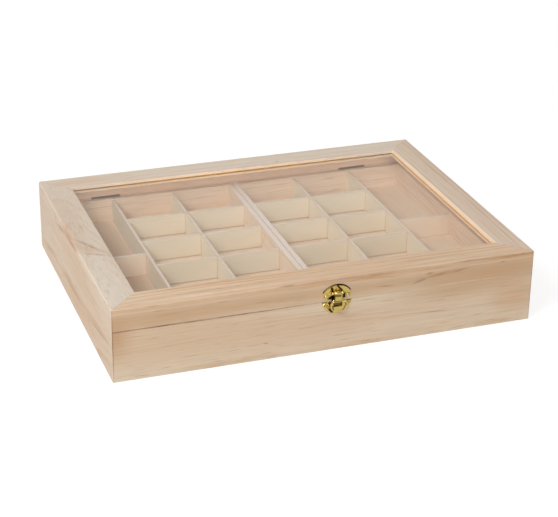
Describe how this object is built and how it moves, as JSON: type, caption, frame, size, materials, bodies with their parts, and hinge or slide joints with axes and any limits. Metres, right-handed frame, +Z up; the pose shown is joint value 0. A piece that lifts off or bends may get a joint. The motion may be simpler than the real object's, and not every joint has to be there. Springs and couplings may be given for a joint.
{
  "type": "parts sorting tray",
  "caption": "Shallow wooden sorting box with a hinged glass-panelled lid, a brass clasp and two divided lift-out trays for small parts.",
  "frame": {"origin": "centre of the underside of the box", "axes": "+X to the right along the long side, +Y to the back where the hinges are, +Z up; the clasp is on the -Y side"},
  "size_m": [0.4, 0.3079, 0.07],
  "materials": {
    "box_pine": "planed pale pine, unfinished, matt, straight and cathedral grain",
    "tray_pine": "planed pale pine, unfinished, matt",
    "divider_wood": "thin pale limewood, fine grained, matt",
    "thin_ply": "thin light plywood, sanded, matt",
    "glass": "clear thin picture glass",
    "clasp_brass": "bright stamped brass plate",
    "hinge_brass": "brass-plated steel, slightly dull",
    "hinge_screws": "brass-plated countersunk screws"
  },
  "bodies": {
    "base": {"base_bottom_panel": "thin_ply", "base_front_wall": "box_pine", "base_back_wall": "box_pine", "base_left_wall": "box_pine", "base_right_wall": "box_pine", "tray_strip_front": "tray_pine", "tray_strip_back": "tray_pine", "tray_strip_left": "tray_pine", "tray_strip_right": "tray_pine", "hinge_left_base_leaf": "hinge_brass", "hinge_left_pin": "hinge_brass", "hinge_left_base_screws": "hinge_screws", "hinge_right_base_leaf": "hinge_brass", "hinge_right_pin": "hinge_brass", "hinge_right_base_screws": "hinge_screws", "clasp_lower_plate": "clasp_brass", "clasp_lower_nails": "clasp_brass"},
    "lid": {"glass_pane": "glass", "lid_front_wall": "box_pine", "lid_back_wall": "box_pine", "lid_left_wall": "box_pine", "lid_right_wall": "box_pine", "frame_front_rail": "box_pine", "frame_back_rail": "box_pine", "frame_left_rail": "box_pine", "frame_right_rail": "box_pine", "hinge_left_lid_leaf": "hinge_brass", "hinge_left_lid_screws": "hinge_screws", "hinge_right_lid_leaf": "hinge_brass", "hinge_right_lid_screws": "hinge_screws", "clasp_upper_plate": "clasp_brass", "clasp_upper_nails": "clasp_brass", "clasp_hasp_pin": "clasp_brass"},
    "hasp": {"clasp_hasp": "clasp_brass"},
    "tray_left": {"tray_left_inner_wall": "tray_pine", "tray_left_outer_wall": "tray_pine", "tray_left_front_wall": "tray_pine", "tray_left_back_wall": "tray_pine", "tray_left_floor": "thin_ply", "tray_left_long_divider_1": "divider_wood", "tray_left_long_divider_2": "divider_wood", "tray_left_end_divider": "divider_wood", "tray_left_cross_divider_1": "divider_wood", "tray_left_cross_divider_2": "divider_wood", "tray_left_cross_divider_3": "divider_wood", "tray_left_cross_divider_4": "divider_wood"},
    "tray_right": {"tray_right_inner_wall": "tray_pine", "tray_right_outer_wall": "tray_pine", "tray_right_front_wall": "tray_pine", "tray_right_back_wall": "tray_pine", "tray_right_floor": "thin_ply", "tray_right_long_divider_1": "divider_wood", "tray_right_long_divider_2": "divider_wood", "tray_right_end_divider": "divider_wood", "tray_right_cross_divider_1": "divider_wood", "tray_right_cross_divider_2": "divider_wood", "tray_right_cross_divider_3": "divider_wood", "tray_right_cross_divider_4": "divider_wood"}
  },
  "joints": [
    {"name": "lid_hinge", "type": "hinge", "parent": "base", "child": "lid", "pos_m": [0, 0.1519, 0.0485], "axis": [-1, 0, 0], "range_deg": [0, 180]},
    {"name": "hasp_hinge", "type": "hinge", "parent": "lid", "child": "hasp", "pos_m": [0.0054, -0.1523, 0.057], "axis": [-1, 0, 0], "range_deg": [0, 150]},
    {"name": "tray_left_lift", "type": "slide", "parent": "base", "child": "tray_left", "axis": [0, 0, 1], "range_m": [0, 0.0155]},
    {"name": "tray_right_lift", "type": "slide", "parent": "base", "child": "tray_right", "axis": [0, 0, 1], "range_m": [0, 0.0155]}
  ]
}
